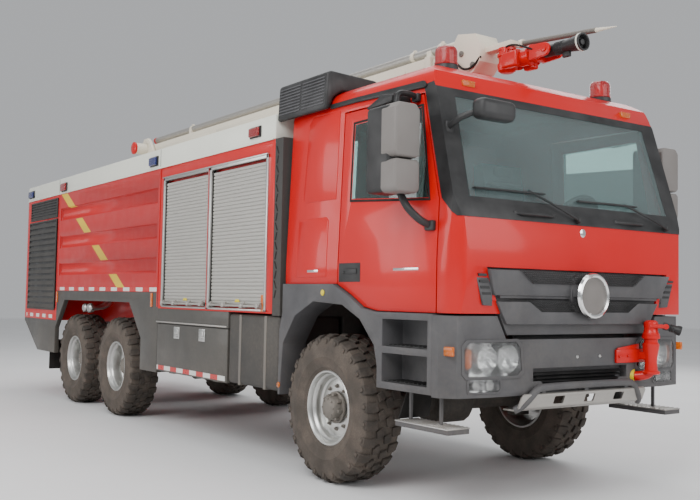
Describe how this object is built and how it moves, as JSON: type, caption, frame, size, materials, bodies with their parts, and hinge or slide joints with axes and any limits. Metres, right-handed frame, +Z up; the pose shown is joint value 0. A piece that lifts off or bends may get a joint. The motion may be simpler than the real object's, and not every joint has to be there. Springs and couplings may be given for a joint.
{
  "type": "airport fire truck",
  "caption": "Six-wheeled cab-over airport fire truck with a foam body, side lockers, a telescopic roof boom with nozzle and piercing spike, and a bumper monitor.",
  "frame": {"origin": "on the ground, under the middle of the bounding box", "axes": "+Z up; the truck faces -Y; its right side is at -X"},
  "size_m": [3.06, 10.03, 3.71],
  "materials": {
    "red": "gloss",
    "off_white": "satin",
    "dark_grey": "satin",
    "grey_plastic": "matte",
    "black_plastic": "matte",
    "tyre": "matte",
    "silver": "satin",
    "chassis": "satin",
    "glass": "clear",
    "fabric": "woven"
  },
  "bodies": {
    "truck": {"frame_rails": "chassis", "engine_block": "chassis", "front_axle": "chassis", "rear_bogie": "chassis", "locker_body": "red", "tank_body": "red", "pump_body": "red", "roof_fascia": "off_white", "front_bulkhead": "dark_grey", "skirt_right": "dark_grey", "skirt_left": "dark_grey", "roller_shutters_right": "silver", "roller_shutters_left": "silver", "rear_ladder": "silver", "fuel_tank": "dark_grey", "battery_box": "dark_grey", "cab_shell": "red", "windscreen": "glass", "dashboard": "black_plastic", "cab_seats": "fabric", "grille": "grey_plastic", "bumper": "grey_plastic", "skid_plate": "silver", "wheel_arch_right": "grey_plastic", "wheel_arch_left": "grey_plastic", "air_intake": "black_plastic", "beacon_right": "red", "beacon_left": "red", "bumper_monitor_riser": "red"},
    "turret": {"boom_turret": "off_white"},
    "outer_boom_body": {"outer_boom": "off_white"},
    "inner_boom_body": {"inner_boom": "off_white"},
    "lift_barrel": {"lift_cylinder_barrel": "dark_grey"},
    "lift_rod": {"lift_cylinder_rod": "silver"},
    "monitor_body": {"boom_monitor": "red"},
    "nozzle_body": {"boom_nozzle": "black_plastic"},
    "bumper_monitor_head": {"bumper_monitor_elbow": "red"},
    "bumper_nozzle_body": {"bumper_monitor_nozzle": "black_plastic"},
    "knuckle_right": {"steering_knuckle_right": "chassis"},
    "knuckle_left": {"steering_knuckle_left": "chassis"},
    "door_right_body": {"door_right": "red", "door_glass_right": "glass", "mirror_right": "grey_plastic"},
    "door_left_body": {"door_left": "red", "door_glass_left": "glass", "mirror_left": "grey_plastic"},
    "flap_right_body": {"flap_door_right": "dark_grey"},
    "flap_left_body": {"flap_door_left": "dark_grey"},
    "wheel_front_right": {"tyre_front_right": "tyre", "rim_front_right": "silver"},
    "wheel_front_left": {"tyre_front_left": "tyre", "rim_front_left": "silver"},
    "wheel_middle_right": {"tyre_middle_right": "tyre", "rim_middle_right": "silver"},
    "wheel_middle_left": {"tyre_middle_left": "tyre", "rim_middle_left": "silver"},
    "wheel_rear_right": {"tyre_rear_right": "tyre", "rim_rear_right": "silver"},
    "wheel_rear_left": {"tyre_rear_left": "tyre", "rim_rear_left": "silver"}
  },
  "joints": [
    {"name": "boom_slew", "type": "hinge", "parent": "truck", "child": "turret", "pos_m": [0.1, 2.8741, 2.9], "axis": [0, 0, 1], "range_deg": [-90, 90]},
    {"name": "boom_lift", "type": "hinge", "parent": "turret", "child": "outer_boom_body", "pos_m": [0.1, 3.2641, 3.52], "axis": [-1, 0, 0], "range_deg": [0, 75]},
    {"name": "boom_extend", "type": "slide", "parent": "outer_boom_body", "child": "inner_boom_body", "axis": [0, -1, 0], "range_m": [0, 4.5]},
    {"name": "lift_cylinder_swing", "type": "hinge", "parent": "turret", "child": "lift_barrel", "pos_m": [0.1, 2.7241, 3.06], "axis": [-1, 0, 0], "range_deg": [0, 80]},
    {"name": "lift_rod_slide", "type": "slide", "parent": "lift_barrel", "child": "lift_rod", "axis": [0, -0.9947, 0.1031], "range_m": [0, 0.88]},
    {"name": "boom_monitor_pan", "type": "hinge", "parent": "inner_boom_body", "child": "monitor_body", "pos_m": [0.1, -3.8459, 3.4], "axis": [0, 0, 1], "range_deg": [-90, 90]},
    {"name": "boom_nozzle_tilt", "type": "hinge", "parent": "monitor_body", "child": "nozzle_body", "pos_m": [0.1, -4.3259, 3.38], "axis": [-1, 0, 0], "range_deg": [-40, 60]},
    {"name": "bumper_monitor_pan", "type": "hinge", "parent": "truck", "child": "bumper_monitor_head", "pos_m": [0.66, -4.8259, 1.2], "axis": [0, 0, 1], "range_deg": [-121, 9]},
    {"name": "bumper_monitor_tilt", "type": "hinge", "parent": "bumper_monitor_head", "child": "bumper_nozzle_body", "pos_m": [0.72749, -4.90633, 1.26], "axis": [-0.766, -0.6428, 0], "range_deg": [-15, 60]},
    {"name": "steer_right", "type": "hinge", "parent": "truck", "child": "knuckle_right", "pos_m": [-0.95, -3.2259, 0.576], "axis": [0, 0, 1], "range_deg": [-33, 33]},
    {"name": "steer_left", "type": "hinge", "parent": "truck", "child": "knuckle_left", "pos_m": [0.95, -3.2259, 0.576], "axis": [0, 0, 1], "range_deg": [-33, 33]},
    {"name": "wheel_spin_front_right", "type": "hinge", "parent": "knuckle_right", "child": "wheel_front_right", "pos_m": [-1.05, -3.2259, 0.576], "axis": [1, 0, 0], "continuous": true},
    {"name": "wheel_spin_middle_right", "type": "hinge", "parent": "truck", "child": "wheel_middle_right", "pos_m": [-1.05, 1.2741, 0.576], "axis": [1, 0, 0], "continuous": true},
    {"name": "wheel_spin_rear_right", "type": "hinge", "parent": "truck", "child": "wheel_rear_right", "pos_m": [-1.05, 2.7541, 0.576], "axis": [1, 0, 0], "continuous": true},
    {"name": "wheel_spin_front_left", "type": "hinge", "parent": "knuckle_left", "child": "wheel_front_left", "pos_m": [1.05, -3.2259, 0.576], "axis": [1, 0, 0], "continuous": true},
    {"name": "wheel_spin_middle_left", "type": "hinge", "parent": "truck", "child": "wheel_middle_left", "pos_m": [1.05, 1.2741, 0.576], "axis": [1, 0, 0], "continuous": true},
    {"name": "wheel_spin_rear_left", "type": "hinge", "parent": "truck", "child": "wheel_rear_left", "pos_m": [1.05, 2.7541, 0.576], "axis": [1, 0, 0], "continuous": true},
    {"name": "door_open_right", "type": "hinge", "parent": "truck", "child": "door_right_body", "pos_m": [-1.225, -4.5409, 2], "axis": [0, 0, 1], "range_deg": [0, 75]},
    {"name": "door_open_left", "type": "hinge", "parent": "truck", "child": "door_left_body", "pos_m": [1.225, -4.5409, 2], "axis": [0, 0, -1], "range_deg": [0, 75]},
    {"name": "flap_drop_right", "type": "hinge", "parent": "truck", "child": "flap_right_body", "pos_m": [-1.25, -0.8425, 0.63], "axis": [0, -1, 0], "range_deg": [0, 90]},
    {"name": "flap_drop_left", "type": "hinge", "parent": "truck", "child": "flap_left_body", "pos_m": [1.25, -0.8425, 0.63], "axis": [0, 1, 0], "range_deg": [0, 90]}
  ],
  "couplings": [
    {"joint": "lift_cylinder_swing", "follows": "boom_lift", "ratio": 1.0319},
    {"joint": "lift_rod_slide", "follows": "boom_lift", "m_per_rad": 0.6575},
    {"joint": "steer_left", "follows": "steer_right", "ratio": 1}
  ]
}
